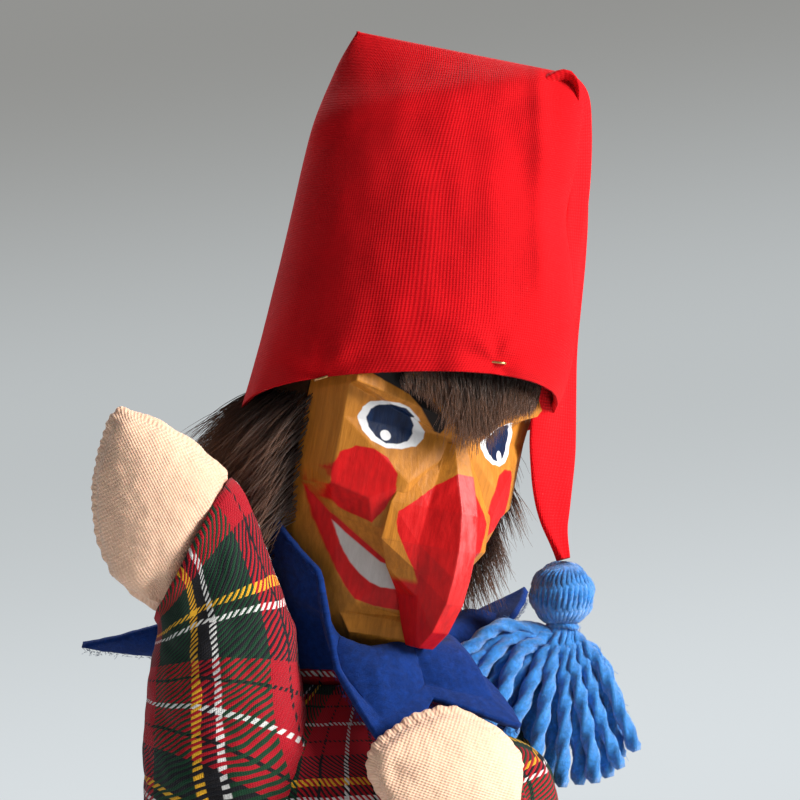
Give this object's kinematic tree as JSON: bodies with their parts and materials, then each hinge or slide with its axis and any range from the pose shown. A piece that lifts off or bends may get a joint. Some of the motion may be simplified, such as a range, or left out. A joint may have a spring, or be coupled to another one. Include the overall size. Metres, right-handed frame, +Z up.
{
  "type": "glove puppet",
  "caption": "Glove puppet of a robber with a carved wooden head, hooked nose, fur wig, red tasselled cap, star collar, tartan glove and mitten hands.",
  "frame": {"origin": "middle of the open hem, where the hand goes in", "axes": "+Z up towards the head, the puppet faces -Y, its right hand is at -X"},
  "size_m": [0.1793, 0.1421, 0.4193],
  "materials": {
    "tartan": "woven tartan with a soft sheen",
    "felt": "blue wool felt",
    "cord": "twisted cotton cord",
    "carved_wood": "carved, stained and hand painted",
    "nose_paint": "carved, painted red",
    "fur": "long-pile fake fur",
    "cap_cloth": "plain-weave red cotton",
    "wadding": "loose polyester wadding",
    "staple_metal": "bright wire",
    "yarn": "blue wool yarn",
    "jersey": "peach cotton jersey"
  },
  "bodies": {
    "costume": {"dress_front": "tartan", "dress_back": "tartan", "collar": "felt"},
    "neckline": {"neck_casing": "tartan"},
    "neck_tie": {"neck_cord": "cord"},
    "head": {"head_block": "carved_wood", "nose": "nose_paint", "wig_sides": "fur", "wig_fringe": "fur", "hat_crown": "cap_cloth", "hat_stuffing": "wadding", "hat_staples": "staple_metal"},
    "cap_tail": {"hat_tail": "cap_cloth"},
    "tassel": {"tassel_head": "yarn", "tassel_tie": "yarn", "tassel_skirt": "yarn"},
    "right_sleeve": {"sleeve_right": "tartan"},
    "left_sleeve": {"sleeve_left": "tartan"},
    "right_hand": {"hand_right_back": "jersey", "hand_right_palm": "jersey", "hand_right_stuffing": "wadding"},
    "left_hand": {"hand_left_back": "jersey", "hand_left_palm": "jersey", "hand_left_stuffing": "wadding"}
  },
  "joints": [
    {"name": "head_turn", "type": "hinge", "parent": "costume", "child": "neckline", "pos_m": [0, 0, 0.228], "axis": [0, 0, 1], "range_deg": [-30, 30]},
    {"name": "head_tilt", "type": "hinge", "parent": "neckline", "child": "neck_tie", "pos_m": [0, 0, 0.228], "axis": [-0.1736, 0.9848, 0], "range_deg": [-16, 4]},
    {"name": "head_nod", "type": "hinge", "parent": "neck_tie", "child": "head", "pos_m": [0, 0, 0.228], "axis": [0.9747, 0.1799, -0.133], "range_deg": [-18, 10]},
    {"name": "tail_swing", "type": "hinge", "parent": "head", "child": "cap_tail", "pos_m": [0.07106, -0.01931, 0.39797], "axis": [-0.4226, -0.9063, 0], "range_deg": [0, 80]},
    {"name": "tassel_swing", "type": "hinge", "parent": "cap_tail", "child": "tassel", "pos_m": [0.06106, -0.02531, 0.25997], "axis": [-0.4226, -0.9063, 0], "range_deg": [-10, 40], "deforming": ["tassel_skirt"]},
    {"name": "right_arm_lift", "type": "hinge", "parent": "costume", "child": "right_sleeve", "pos_m": [-0.042, 0, 0.2], "axis": [0, 1, 0], "range_deg": [-68, 0]},
    {"name": "right_wrist", "type": "hinge", "parent": "right_sleeve", "child": "right_hand", "pos_m": [-0.056, -0.018, 0.258], "axis": [-0.7649, 0.4415, -0.469], "range_deg": [-15, 15]},
    {"name": "left_arm_swing", "type": "hinge", "parent": "costume", "child": "left_sleeve", "pos_m": [0.042, 0, 0.2], "axis": [-0.5166, -0.395, 0.7597], "range_deg": [0, 60]},
    {"name": "left_wrist", "type": "hinge", "parent": "left_sleeve", "child": "left_hand", "pos_m": [0.033, -0.0535, 0.19], "axis": [-0.3104, -0.054, -0.9491], "range_deg": [-20, 0]}
  ]
}
